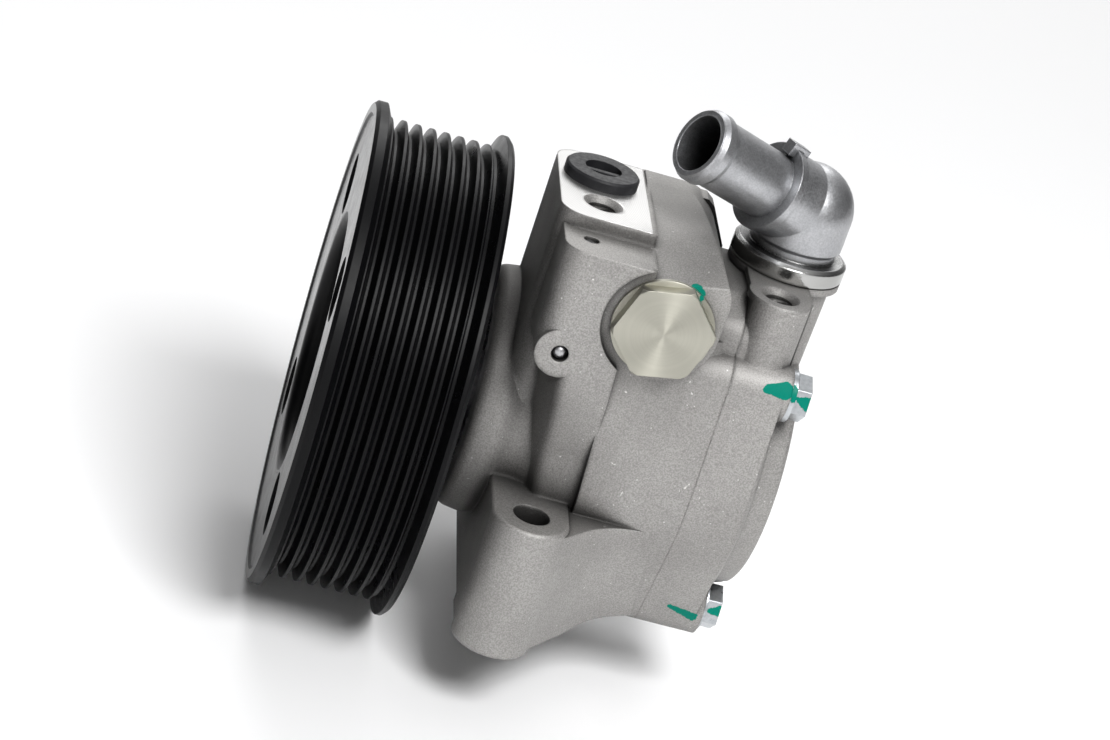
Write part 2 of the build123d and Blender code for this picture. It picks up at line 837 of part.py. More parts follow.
    # Outlet port, bracket hole, gallery drilling and pilot drilling
    block_top = Plane.XY.offset(block_top_z)
    outlet = disc(block_top, port_x, port_y, port_radius)
    extrude(outlet, amount=-port_depth, mode=Mode.SUBTRACT)
    bracket_hole = disc(block_top, port_x, bracket_hole_y, tapped_radius)
    extrude(bracket_hole, amount=-tapped_depth, mode=Mode.SUBTRACT)
    mouth_depth = tapped_mouth_radius - tapped_radius
    with Locations(Pos(port_x, bracket_hole_y, block_top_z - mouth_depth / 2)):
        Cone(tapped_radius, tapped_mouth_radius, mouth_depth, mode=Mode.SUBTRACT)
    gallery = disc(Plane.XY.offset(rib_top_z), pilot_x, gallery_y, gallery_radius)
    extrude(gallery, amount=-(rib_top_z - pilot_z), mode=Mode.SUBTRACT)
    pilot = disc(Plane.XZ.offset(-rib_face_y), pilot_x, pilot_z, pilot_hole_radius)
    extrude(pilot, amount=-14, mode=Mode.SUBTRACT)

    # Valve bore, spotface and the passages to the cavity and the port
    spotface = disc(Plane.XZ.offset(-rib_face_y + 1), valve_x, valve_z, valve_spotface_radius)
    extrude(spotface, amount=-(valve_seat_y - rib_face_y + 1), mode=Mode.SUBTRACT)
    seat_plane = Plane.XZ.offset(-valve_seat_y)
    thread_bore = disc(seat_plane, valve_x, valve_z, valve_thread_radius + press_clearance)
    extrude(thread_bore, amount=-valve_thread_length, mode=Mode.SUBTRACT)
    bore = disc(Plane.XZ.offset(-valve_seat_y), valve_x, valve_z, valve_bore_radius)
    extrude(bore, amount=-(valve_bore_end_y - valve_seat_y), mode=Mode.SUBTRACT)
    cross_passage = disc(Plane.YZ.offset(port_x), port_y, block_top_z - port_depth + 3.2, 3.0)
    extrude(cross_passage, amount=valve_x - port_x, mode=Mode.SUBTRACT)
    for passage_y in (-20, -8):
        drop = disc(Plane.XY.offset(valve_z), valve_x, passage_y, 2.6)
        extrude(drop, amount=-(valve_z - 25), mode=Mode.SUBTRACT)
housing.part.label = "housing"

# Rear cover casting
with BuildPart() as rear_cover:
    with BuildSketch(Plane.XY.offset(inlet_boss_foot_z)) as boss_foot:
        with Locations((inlet_x, inlet_y)):
            Circle(inlet_boss_foot_radius)
    with BuildSketch(Plane.XY.offset(inlet_boss_top_z)) as boss_top:
        with Locations((inlet_x, inlet_y)):
            Circle(inlet_boss_radius)
    loft()
    rim_bottom_z = shoulder_top_z + seat_gap
    inlet_rim = disc(Plane.XY.offset(rim_bottom_z), inlet_x, inlet_y, inlet_rim_radius)
    extrude(inlet_rim, amount=inlet_boss_top_z - rim_bottom_z)
    overhang_box_height = rim_bottom_z + 60
    with Locations(Pos(parting_x - 15, 0, rim_bottom_z - overhang_box_height / 2)):
        Box(30, 60, overhang_box_height, mode=Mode.SUBTRACT)
    extrude(body_section(parting_x), amount=cover_plate_thickness - 2)
    extrude(shoulder_section(parting_x), amount=cover_plate_thickness - 4)
    for bolt_y, bolt_z, lobe in bolt_places:
        extrude(disc(Plane.YZ.offset(parting_x), bolt_y, bolt_z, lobe), amount=cover_plate_thickness)
    revolve(
        profile(
            Plane.XZ,
            [
                (parting_x, 0),
                (parting_x, body_radius),
                (cover_rear_x - 1.5, body_radius),
                (cover_rear_x, cover_dome_root_radius),
                (cover_dome_x, cover_dome_radius),
                (cover_dome_x + cover_dome_crown, cover_dome_radius - 12),
                (cover_dome_x + cover_dome_crown, 0),
            ],
            [(cover_rear_x - 1.5, body_radius, 1.5), (cover_dome_x, cover_dome_radius, 2.0)],
        ),
        axis=Axis.X,
    )
    # Lug with the tapped bracket hole
    with BuildSketch(Plane.XY.offset(28)):
        with Locations((lug_x, lug_y)):
            Circle(lug_radius)
        with Locations((lug_x + 0.6, lug_y + 8)):
            Rectangle(2 * lug_radius, 16)
    extrude(amount=inlet_boss_top_z - 28)

    # Keep everything behind the parting plane below the inlet overhang
    with Locations(Pos(parting_x - 15, 0, rim_bottom_z - overhang_box_height / 2)):
        Box(30, 120, overhang_box_height, mode=Mode.SUBTRACT)

    # Inlet seat, throat, suction passage, bush seat, seal groove, bolt holes and tapped hole
    inlet_top = Plane.XY.offset(inlet_boss_top_z)
    seat_depth = inlet_boss_top_z - inlet_seat_z
    extrude(disc(inlet_top, inlet_x, inlet_y, inlet_bore_radius), amount=-seat_depth, mode=Mode.SUBTRACT)
    throat_depth = inlet_boss_top_z - inlet_throat_z
    extrude(disc(inlet_top, inlet_x, inlet_y, inlet_throat_radius), amount=-throat_depth, mode=Mode.SUBTRACT)
    suction = disc(Plane.YZ.offset(parting_x), inlet_y, inlet_throat_z + 4.5, 3.5)
    extrude(suction, amount=inlet_x - parting_x, mode=Mode.SUBTRACT)
    bush_seat = disc(Plane.YZ.offset(parting_x), 0, 0, bush_radius + press_clearance)
    extrude(bush_seat, amount=bush_length + 0.5, mode=Mode.SUBTRACT)
    groove_half = o_ring_radius + o_ring_squeeze
    seal_groove = profile(
        Plane.XZ,
        [
            (parting_x - 1, cover_seal_radius - groove_half),
            (parting_x - 1, cover_seal_radius + groove_half),
            (parting_x + 2 * groove_half, cover_seal_radius + groove_half),
            (parting_x + 2 * groove_half, cover_seal_radius - groove_half),
        ],
    )
    revolve(seal_groove, axis=Axis.X, mode=Mode.SUBTRACT)
    for bolt_y, bolt_z, lobe in bolt_places:
        hole = disc(Plane.YZ.offset(parting_x - 1), bolt_y, bolt_z, cover_bolt_radius + bolt_hole_clearance)
        extrude(hole, amount=cover_plate_thickness + 2, mode=Mode.SUBTRACT)
        bolt_pocket = disc(Plane.YZ.offset(bolt_seat_x), bolt_y, bolt_z, bolt_pocket_radius)
        extrude(bolt_pocket, amount=20, mode=Mode.SUBTRACT)
    lug_plane = Plane.XY.offset(inlet_boss_top_z)
    extrude(disc(lug_plane, lug_x, lug_y, tapped_radius), amount=-tapped_depth, mode=Mode.SUBTRACT)
    with Locations(Pos(lug_x, lug_y, inlet_boss_top_z - mouth_depth / 2)):
        Cone(tapped_radius, tapped_mouth_radius, mouth_depth, mode=Mode.SUBTRACT)
rear_cover.part.label = "rear_cover"

# Flanged hex bolts of the cover, four in one node
with BuildPart() as cover_bolts:
    for bolt_y, bolt_z, lobe in bolt_places:
        flange = disc(Plane.YZ.offset(bolt_seat_x), bolt_y, bolt_z, bolt_flange_radius)
        extrude(flange, amount=bolt_flange_thickness)
        shank = disc(Plane.YZ.offset(bolt_seat_x), bolt_y, bolt_z, cover_bolt_radius)
        extrude(shank, amount=-cover_bolt_grip)
        head_x = bolt_seat_x + bolt_flange_thickness
        head_plane = Plane((head_x, bolt_y, bolt_z), x_dir=(0, 1, 0), z_dir=(1, 0, 0))
        extrude(hex_outline(head_plane, bolt_head_flats, 20), amount=bolt_head_height - bolt_flange_thickness)
cover_bolts.part.label = "cover_bolts"

# Inlet elbow: leg with its collar, knee, and a beaded hose spigot
knee = Vector(inlet_x, inlet_y, knee_z)
collar_top_z = inlet_boss_top_z + collar_thickness


def spigot_plane(distance):
    """Plane square to the spigot at a distance from the knee."""
    return Plane(knee + spigot_direction * distance, x_dir=(0, 0, 1), z_dir=spigot_direction)


with BuildPart() as inlet_elbow:
    leg_axis = Axis((inlet_x, inlet_y, 0), (0, 0, 1))
    leg_plane = Plane((inlet_x, inlet_y, 0), x_dir=(1, 0, 0), z_dir=(0, -1, 0))
    revolve(
        profile(
            leg_plane,
            [
                (0, inlet_seat_z + seat_gap),
                (inlet_bore_radius - press_clearance, inlet_seat_z + seat_gap),
                (inlet_bore_radius - press_clearance, inlet_boss_top_z),
                (collar_radius, inlet_boss_top_z),
                (collar_radius, collar_top_z - 0.8),
                (collar_radius - 1.0, collar_top_z),
                (leg_groove_radius, collar_top_z),
                (leg_groove_radius, collar_top_z + 1.8),
                (leg_tube_radius, collar_top_z + 2.8),
                (leg_tube_radius, knee_z),
                (0, knee_z),
            ],
            [(collar_radius, inlet_boss_top_z, 0.8)],
        ),
        axis=leg_axis,
    )
    with Locations(Pos(*knee)):
        Sphere(leg_tube_radius)
    with BuildSketch(spigot_plane(0)):
        Circle(elbow_radius)
    extrude(amount=stop_ring_distance)
    with BuildSketch(spigot_plane(stop_ring_distance - stop_ring_width / 2)):
        Circle(stop_ring_radius)
    extrude(amount=stop_ring_width)
    with BuildSketch(spigot_plane(stop_ring_distance)):
        Circle(spigot_radius)
    extrude(amount=spigot_length - stop_ring_distance)
    with BuildSketch(spigot_plane(spigot_length - bead_length)):
        Circle(spigot_radius)
    with BuildSketch(spigot_plane(spigot_length - bead_length + bead_ramp)):
        Circle(bead_radius)
    loft()
    with BuildSketch(spigot_plane(spigot_length - bead_length + bead_ramp)):
        Circle(bead_radius)
    extrude(amount=bead_length - 2 * bead_ramp)
    with BuildSketch(spigot_plane(spigot_length - bead_ramp)):
        Circle(bead_radius)
    with BuildSketch(spigot_plane(spigot_length)):
        Circle(spigot_radius - 0.4)
    loft()
    with BuildSketch(spigot_plane(stop_ring_distance - 2.6)):
        with Locations((stop_ring_radius - 0.6, 0)):
            Rectangle(2 * stop_lug_height, 3.4)
    extrude(amount=5.2)
    # Bores meet in the knee
    with BuildSketch(Plane.XY.offset(inlet_seat_z)):
        with Locations((inlet_x, inlet_y)):
            Circle(inlet_throat_radius)
    extrude(amount=knee_z - inlet_seat_z, mode=Mode.SUBTRACT)
    with BuildSketch(spigot_plane(0)):
        Circle(spigot_bore_radius)
    extrude(amount=spigot_length + 1, mode=Mode.SUBTRACT)
    # Seal groove in the plug-in end
    seal_band_z = inlet_seat_z + 5.0
    seal_band = profile(
        leg_plane,
        [
            (inlet_bore_radius + 1, seal_band_z - 1.1),
            (inlet_bore_radius - 1.7, seal_band_z - 1.1),
            (inlet_bore_radius - 1.7, seal_band_z + 1.1),
            (inlet_bore_radius + 1, seal_band_z + 1.1),
        ],
    )
    revolve(seal_band, axis=leg_axis, mode=Mode.SUBTRACT)
inlet_elbow.part.label = "inlet_elbow"

with BuildPart() as elbow_o_ring:
    elbow_ring_section = disc(leg_plane, inlet_bore_radius - 0.85, seal_band_z, 0.8)
    revolve(elbow_ring_section, axis=leg_axis)
elbow_o_ring.part.label = "elbow_o_ring"

# Transit cap in the outlet port, with a bar across its recess
with BuildPart() as transit_cap:
    cap_plane = Plane.XY.offset(block_top_z)
    extrude(disc(cap_plane, port_x, port_y, cap_radius), amount=cap_thickness)
    chamfer(transit_cap.edges().filter_by(GeomType.CIRCLE).group_by(Axis.Z)[-1], 0.5)
    extrude(disc(cap_plane, port_x, port_y, cap_plug_radius), amount=-cap_plug_depth)
    recess_plane = Plane.XY.offset(block_top_z + cap_thickness)
    recess = disc(recess_plane, port_x, port_y, cap_recess_radius)
    extrude(recess, amount=-cap_recess_depth, mode=Mode.SUBTRACT)
    with BuildSketch(Plane.XY.offset(block_top_z + cap_thickness - cap_recess_depth)):
        with Locations((port_x, port_y)):
            Rectangle(2 * cap_recess_radius, cap_bar_width)
    extrude(amount=cap_recess_depth - 0.8)
transit_cap.part.label = "transit_cap"

# Hex plug of the flow control valve, with its sealing washer
washer_front_y = valve_seat_y - washer_thickness
with BuildPart() as valve_plug:
    head_plane = Plane((valve_x, washer_front_y, valve_z), x_dir=(1, 0, 0), z_dir=(0, -1, 0))
    extrude(hex_outline(head_plane, hex_flats, hex_turn), amount=hex_height)
    with BuildSketch(head_plane):
        Circle(hex_corner_radius + 1.8)
    with BuildSketch(head_plane.offset(hex_height)):
        Circle(hex_corner_radius - 0.5)
    loft(mode=Mode.INTERSECT)
    with BuildSketch(Plane.XZ.offset(-washer_front_y)):
        with Locations((valve_x, valve_z)):
            Circle(valve_thread_radius)
    extrude(amount=-(washer_thickness + valve_thread_length - 2))
    with BuildSketch(Plane.XZ.offset(-washer_front_y)):
        with Locations((valve_x, valve_z)):
            Circle(4.0)
    extrude(amount=-(washer_thickness + valve_thread_length))
valve_plug.part.label = "valve_plug"

with BuildPart() as valve_plug_washer:
    with BuildSketch(Plane.XZ.offset(-valve_seat_y)):
        with Locations((valve_x, valve_z)):
            Circle(washer_radius)
            Circle(valve_thread_radius + press_clearance, mode=Mode.SUBTRACT)
    extrude(amount=washer_thickness)
valve_plug_washer.part.label = "valve_plug_washer"

# Flow control spool: two lands, a waist, a cup for the spring and the relief bore
spool_radius = valve_bore_radius - running_clearance
spool_cup_y = spool_far_y - 8.0
with BuildPart() as flow_spool:
    spool_plane = Plane((valve_x, 0, valve_z), x_dir=(1, 0, 0), z_dir=(0, 0, 1))
    revolve(
        profile(
            spool_plane,
            [
                (0, spool_near_y),
                (spool_radius - 0.6, spool_near_y),
                (spool_radius, spool_near_y + 0.6),
                (spool_radius, spool_near_y + 7.5),
                (spool_radius - 2.2, spool_near_y + 8.5),
                (spool_radius - 2.2, spool_near_y + 14.0),
                (spool_radius, spool_near_y + 15.0),
                (spool_radius, spool_far_y),
                (spool_radius - spool_wall + 0.8, spool_far_y),
                (spool_radius - spool_wall + 0.8, spool_cup_y),
                (0, spool_cup_y),
            ],
        ),
        axis=valve_axis,
    )
    relief_bore = disc(Plane.XZ.offset(-spool_near_y), valve_x, valve_z, relief_bore_radius)
    extrude(relief_bore, amount=-(spool_cup_y - spool_near_y - 2.5), mode=Mode.SUBTRACT)
flow_spool.part.label = "flow_spool"

# Spring behind the spool
spool_spring = coil_spring(
    (valve_x, valve_z),
    spool_cup_y,
    valve_bore_end_y - spool_cup_y,
    spring_coil_radius,
    spring_wire_radius,
    spring_turns,
)
spool_spring.part.label = "spool_spring"

# Relief seat, ball and spring inside the spool
relief_seat_y = spool_near_y + 5.0
relief_ball_y = relief_seat_y + relief_ball_radius
with BuildPart() as relief_seat:
    extrude(
        disc(Plane.XZ.offset(-(spool_near_y + 0.5)), valve_x, valve_z, relief_bore_radius - press_clearance),
        amount=-(relief_seat_y - spool_near_y),
    )
    extrude(disc(Plane.XZ.offset(-spool_near_y), valve_x, valve_z, 1.1), amount=-8, mode=Mode.SUBTRACT)
    with Locations(Pos(valve_x, relief_ball_y, valve_z)):
        Sphere(relief_ball_radius + running_clearance, mode=Mode.SUBTRACT)
relief_seat.part.label = "relief_seat"

with BuildPart() as relief_ball:
    with Locations(Pos(valve_x, relief_ball_y, valve_z)):
        Sphere(relief_ball_radius)
relief_ball.part.label = "relief_ball"

relief_spring_y = relief_ball_y + relief_ball_radius * 0.75
relief_spring = coil_spring(
    (valve_x, valve_z),
    relief_spring_y,
    spool_cup_y - 2.5 - relief_spring_y,
    2.3,
    0.4,
    4,
)
relief_spring.part.label = "relief_spring"

# Sealing ball of the pilot drilling and plug of the gallery drilling
with BuildPart() as pilot_ball:
    with Locations(Pos(pilot_x, rib_face_y + 2.4, pilot_z)):
        Sphere(pilot_hole_radius - press_clearance)
pilot_ball.part.label = "pilot_ball"

with BuildPart() as gallery_plug:
    gallery_plane = Plane.XY.offset(rib_top_z - 0.7)
    extrude(disc(gallery_plane, pilot_x, gallery_y, gallery_radius - press_clearance), amount=-5)
gallery_plug.part.label = "gallery_plug"

# Pumping group: plates, cam ring, rotor and vanes
dowel_angles = (90, 270)


def port_plate(x, thickness):
    """A round port plate with kidney ports, shaft bore and dowel holes."""
    with BuildPart() as plate:
        with BuildSketch(Plane.YZ.offset(x)):
            Circle(plate_radius)
            Circle(shaft_radius + 0.4, mode=Mode.SUBTRACT)
            for middle in (45, 135, 225, 315):
                with BuildLine():
                    CenterArc((0, 0), kidney_radius, middle - kidney_span / 2, kidney_span)
                    offset(amount=kidney_half_width)
                make_face(mode=Mode.SUBTRACT)
            for dowel in dowel_angles:
                with Locations(around(dowel, dowel_circle_radius)):
                    Circle(dowel_radius + press_clearance, mode=Mode.SUBTRACT)
        extrude(amount=thickness)
    return plate


front_port_plate = port_plate(cavity_front_x, front_plate_thickness)
front_port_plate.part.label = "front_port_plate"
rear_port_plate = port_plate(cam_rear_x, parting_x - cam_rear_x)
rear_port_plate.part.label = "rear_port_plate"

with BuildPart() as cam_ring:
    with BuildSketch(Plane.YZ.offset(front_plate_rear_x)):
        Circle(plate_radius)
        Ellipse(cam_major_radius, cam_minor_radius, mode=Mode.SUBTRACT)
        for dowel in dowel_angles:
            with Locations(around(dowel, dowel_circle_radius)):
                Circle(dowel_radius + press_clearance, mode=Mode.SUBTRACT)
    extrude(amount=cam_ring_width)
cam_ring.part.label = "cam_ring"

with BuildPart() as alignment_dowels:
    for dowel in dowel_angles:
        dowel_y, dowel_z = around(dowel, dowel_circle_radius)
        dowel_section = disc(Plane.YZ.offset(cavity_front_x + seat_gap), dowel_y, dowel_z, dowel_radius)
        extrude(dowel_section, amount=parting_x - cavity_front_x - 2 * seat_gap)
alignment_dowels.part.label = "alignment_dowels"

slot_width = vane_thickness + 2 * plate_clearance
rotor_width = rotor_rear_x - rotor_front_x
with BuildPart() as rotor:
    with BuildSketch(Plane.YZ.offset(rotor_front_x)):
        Circle(rotor_radius)
        Circle(spline_radius + press_clearance, mode=Mode.SUBTRACT)
        with PolarLocations(spline_radius, spline_tooth_count):
            Rectangle(2 * spline_tooth_height + 0.2, 1.6 + 2 * press_clearance, mode=Mode.SUBTRACT)
        with PolarLocations((rotor_radius + slot_root_radius) / 2 + 1, vane_count):
            Rectangle(rotor_radius - slot_root_radius + 2, slot_width, mode=Mode.SUBTRACT)
        with PolarLocations(slot_root_radius, vane_count):
            Circle(slot_width * 0.75, mode=Mode.SUBTRACT)
    extrude(amount=rotor_width)
rotor.part.label = "rotor"

vane_tip_radius = cam_minor_radius - vane_tip_gap
vanes = []
for vane_index in range(vane_count):
    with BuildPart() as vane:
        with BuildSketch(Plane.YZ.offset(rotor_front_x)):
            vane_middle = (vane_inner_radius + vane_tip_radius) / 2
            with PolarLocations(vane_middle, 1, start_angle=vane_index * 360 / vane_count):
                Rectangle(vane_tip_radius - vane_inner_radius, vane_thickness)
        extrude(amount=rotor_width)
    vane.part.label = f"vane_{vane_index + 1:02d}"
    vanes.append(vane)

# Ring that keeps the rotor on the shaft, rear bush and body seal
with BuildPart() as rotor_snap_ring:
    with BuildSketch(Plane.YZ.offset(rotor_rear_x + 1.0)):
        Circle(shaft_radius - 0.3)
        Circle(journal_radius + press_clearance, mode=Mode.SUBTRACT)
        with Locations((0, shaft_radius)):
            Rectangle(3.2, 6, mode=Mode.SUBTRACT)
    extrude(amount=1.2)
rotor_snap_ring.part.label = "rotor_snap_ring"

with BuildPart() as rear_bush:
    with BuildSketch(Plane.YZ.offset(parting_x)):
        Circle(bush_radius)
        Circle(journal_radius + running_clearance, mode=Mode.SUBTRACT)
    extrude(amount=bush_length)
rear_bush.part.label = "rear_bush"

with BuildPart() as cover_o_ring:
    cover_ring_x = parting_x + o_ring_radius + o_ring_squeeze
    cover_ring_section = disc(Plane.XZ, cover_ring_x, cover_seal_radius, o_ring_radius)
    revolve(cover_ring_section, axis=Axis.X)
cover_o_ring.part.label = "cover_o_ring"

# Write one file for each piece
pieces = [
    pulley,
    pulley_hub,
    drive_shaft,
    bearing_inner_ring,
    bearing_outer_ring,
    bearing_balls,
    bearing_cage,
    bearing_snap_ring,
    shaft_seal,
    housing,
    rear_cover,
    cover_bolts,
    inlet_elbow,
    elbow_o_ring,
    transit_cap,
    valve_plug,
    valve_plug_washer,
    flow_spool,
    spool_spring,
    relief_seat,
    relief_ball,
    relief_spring,
    pilot_ball,
    gallery_plug,
    front_port_plate,
    rear_port_plate,
    cam_ring,
    alignment_dowels,
    rotor,
    rotor_snap_ring,
    rear_bush,
    cover_o_ring,
]
for piece in pieces + vanes:
    export_step(piece.part, f"parts/{piece.part.label}.step")
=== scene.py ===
import json
import math

import bmesh
import bpy
from mathutils import Matrix, Vector


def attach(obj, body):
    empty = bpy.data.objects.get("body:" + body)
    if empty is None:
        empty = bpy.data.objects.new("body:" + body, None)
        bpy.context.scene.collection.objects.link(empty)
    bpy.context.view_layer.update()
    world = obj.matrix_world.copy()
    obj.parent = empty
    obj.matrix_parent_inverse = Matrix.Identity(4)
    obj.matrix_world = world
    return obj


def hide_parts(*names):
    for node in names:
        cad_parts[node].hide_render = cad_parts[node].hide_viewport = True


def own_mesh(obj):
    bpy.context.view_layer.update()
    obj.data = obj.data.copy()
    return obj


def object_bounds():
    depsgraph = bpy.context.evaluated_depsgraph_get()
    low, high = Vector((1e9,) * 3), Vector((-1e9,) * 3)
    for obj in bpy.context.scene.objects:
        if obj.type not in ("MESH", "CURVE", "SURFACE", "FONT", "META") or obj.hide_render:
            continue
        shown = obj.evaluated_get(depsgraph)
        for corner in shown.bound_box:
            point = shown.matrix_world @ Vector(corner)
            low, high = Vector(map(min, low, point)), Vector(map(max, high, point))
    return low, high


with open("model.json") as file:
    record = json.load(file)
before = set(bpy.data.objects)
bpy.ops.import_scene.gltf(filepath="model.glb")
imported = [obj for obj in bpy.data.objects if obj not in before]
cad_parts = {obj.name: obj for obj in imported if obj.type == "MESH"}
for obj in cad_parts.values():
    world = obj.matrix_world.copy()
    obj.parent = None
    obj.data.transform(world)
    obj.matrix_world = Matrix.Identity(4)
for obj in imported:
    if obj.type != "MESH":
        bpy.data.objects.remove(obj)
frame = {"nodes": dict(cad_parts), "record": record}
cad_low, cad_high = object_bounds()
nodes = frame["nodes"]

# Lengths are metres in the frame of the CAD model: X along the shaft, Z up, -Y towards the camera.
# Noise scales are per metre.
VALVE_AXIS = (0.0731, 0.0440)  # X and Z of the flow control valve, which lies along Y
EDGE = 0.0003  # how far the shading rounds the edges of the pieces that aren't cast
CAST_EDGE = 0.0008
GREEN = (0.0, 0.19, 0.135)  # inspection paint
PAINTED_SHADE = (0.020, 0.019, 0.018)  # painted shade in the castings' deepest corners

# Green marks: start, end, and the half width at each
HOUSING_MARKS = [((0.0772, -0.0402, 0.0558), (0.0790, -0.0405, 0.0545), 0.0009, 0.0008)]
PLUG_MARKS = [((0.0791, -0.0412, 0.0541), (0.0794, -0.0424, 0.0526), 0.0005, 0.0002)]
COVER_MARKS = [
    ((0.1028, -0.0344, 0.0336), (0.1068, -0.0341, 0.0341), 0.0010, 0.0021),
    ((0.1003, -0.0292, -0.0307), (0.1068, -0.0286, -0.0323), 0.0006, 0.0013),
]
BOLT_MARKS = [
    ((0.1086, -0.0334, 0.0347), (0.1096, -0.0343, 0.0332), 0.0012, 0.0012),
    ((0.1100, -0.0336, 0.0328), (0.1136, -0.0328, 0.0318), 0.0004, 0.0017),
    ((0.1090, -0.0290, -0.0315), (0.1096, -0.0290, -0.0300), 0.0012, 0.0012),
    ((0.1112, -0.0253, -0.0313), (0.1134, -0.0252, -0.0308), 0.0006, 0.0014),
]

# Bright nicks on the housing's near face: start and end
NICKS = [
    ((0.0917, -0.0377, 0.0051), (0.0923, -0.0376, 0.0063)),
    ((0.0686, -0.0403, 0.0261), (0.0689, -0.0403, 0.0263)),
    ((0.0700, -0.0403, 0.0262), (0.0703, -0.0403, 0.0259)),
    ((0.0777, -0.0379, -0.0008), (0.0778, -0.0380, 0.0001)),
    ((0.0762, -0.0393, -0.0092), (0.0771, -0.0386, -0.0092)),
]
NICK_WIDTHS = (0.00008, -0.00002)  # a nick tapers to nothing

# Places where a casting's corners are rounder: centre, reach, and what is added to CAST_EDGE
HOUSING_SOFT = [((0.054, -0.030, 0.012), 0.026, 0.0014), ((0.066, -0.024, 0.052), 0.018, 0.0009)]
COVER_SOFT = [((0.100, -0.020, 0.038), 0.022, 0.0010)]

# Lowest and highest corner of the box whose level faces are cut
PORT_FACE = ((0.0440, -0.030, 0.059), (0.0663, 0.030, 0.062))


class Nodes:
    """A node tree, and calls that add nodes to it. What they take is a socket or a plain value."""

    def __init__(self, tree):
        self.tree = tree
        self.place = self.node("TexCoord")

    def feed(self, socket, value):
        if isinstance(value, bpy.types.NodeSocket):
            self.tree.links.new(value, socket)
        else:
            socket.default_value = value

    def node(self, kind, inputs=(), **settings):
        made = self.tree.nodes.new("ShaderNode" + kind)
        for key, value in settings.items():
            setattr(made, key, value)
        for key, value in dict(inputs).items():
            self.feed(made.inputs[key], value)
        return made

    def maths(self, operation, a, b=0.0, c=0.0, clamp=False):
        made = self.node("Math", {0: a, 1: b, 2: c}, operation=operation, use_clamp=clamp)
        return made.outputs[0]

    def vector(self, operation, a, b=(0, 0, 0)):
        return self.node("VectorMath", {0: a, 1: b}, operation=operation).outputs[0]

    def length(self, vector):
        return self.node("VectorMath", {0: vector}, operation="LENGTH").outputs["Value"]

    def step(self, value, low, high, out_low=0.0, out_high=1.0):
        """Runs smoothly from out_low to out_high while value runs from low to high."""
        ends = {"From Min": low, "From Max": high, "To Min": out_low, "To Max": out_high}
        made = self.node("MapRange", {"Value": value, **ends}, interpolation_type="SMOOTHSTEP")
        return made.outputs["Result"]

    def between(self, factor, a, b):
        """A value that runs from a to b with factor."""
        return self.node("Mix", {0: factor, 2: a, 3: b}, data_type="FLOAT").outputs[0]

    def mix(self, factor, a, b):
        """A colour that runs from a to b with factor."""
        a, b = (c if isinstance(c, bpy.types.NodeSocket) else (*c, 1) for c in (a, b))
        return self.node("Mix", {0: factor, 6: a, 7: b}, data_type="RGBA").outputs[2]


class Shader(Nodes):
    """The nodes of a new material, round its Principled shader."""

    def __init__(self, name):
        self.material = bpy.data.materials.new(name)
        self.material.use_nodes = True
        super().__init__(self.material.node_tree)
        self.surface = self.tree.nodes["Principled BSDF"]

    def set(self, name, value):
        self.feed(self.surface.inputs[name], value)

    def axis(self, letter, source="Object"):
        return self.node("SeparateXYZ", {"Vector": self.place.outputs[source]}).outputs[letter]

    def offset(self, point):
        """From point to the shaded spot."""
        return self.vector("SUBTRACT", self.place.outputs["Object"], point)

    def noise(self, scale, detail=3.0, rough=0.55, vector=None):
        made = self.node("TexNoise", {"Scale": scale, "Detail": detail, "Roughness": rough})
        self.feed(made.inputs["Vector"], vector or self.place.outputs["Object"])
        return made.outputs["Fac"]

    def openness(self, reach, own=True):
        """0 in a closed corner to 1 on a free face, within reach. own leaves out other pieces."""
        made = self.node("AmbientOcclusion", {"Distance": reach}, samples=8, only_local=own)
        return made.outputs["AO"]

    def stroke(self, start, end, wide_start, wide_end):
        """1 inside a ragged brush stroke from start to end, with the half width at each."""
        run = Vector(end) - Vector(start)
        moved = self.offset(start)
        along = self.node("VectorMath", {0: moved, 1: run / run.length_squared},
                          operation="DOT_PRODUCT").outputs["Value"]
        share = self.maths("MULTIPLY", along, 1.0, clamp=True)
        nearest = self.node("VectorMath", {0: tuple(run), "Scale": share},
                            operation="SCALE").outputs[0]
        far = self.length(self.vector("SUBTRACT", moved, nearest))
        wide = self.maths("MULTIPLY_ADD", share, wide_end - wide_start, wide_start)
        ragged = self.maths("MULTIPLY", self.noise(900, 4.0, 0.65), 0.0012)
        outside = self.maths("SUBTRACT", self.maths("ADD", far, ragged), wide)
        return self.step(outside, 0.0008, 0.0006)

    def painted(self, colour, marks):
        """Lays green marks over a colour. Gives the new colour, and 1 where the metal is bare."""
        cover = 0.0
        for mark in marks:
            cover = self.maths("MAXIMUM", cover, self.stroke(*mark))
        bare_specular = self.surface.inputs["Specular IOR Level"].default_value
        self.set("Specular IOR Level", self.between(cover, bare_specular, 0.08))
        return self.mix(cover, colour, GREEN), self.maths("SUBTRACT", 1.0, cover)

    def relief(self, radius, *heights):
        """Rounds the edges by radius, then adds bumps: a height, a strength and a distance each."""
        normal = self.node("Bevel", {"Radius": radius}, samples=6).outputs["Normal"]
        for height, strength, distance in heights:
            bump = {"Height": height, "Strength": strength, "Distance": distance, "Normal": normal}
            normal = self.node("Bump", bump).outputs["Normal"]
        self.set("Normal", normal)


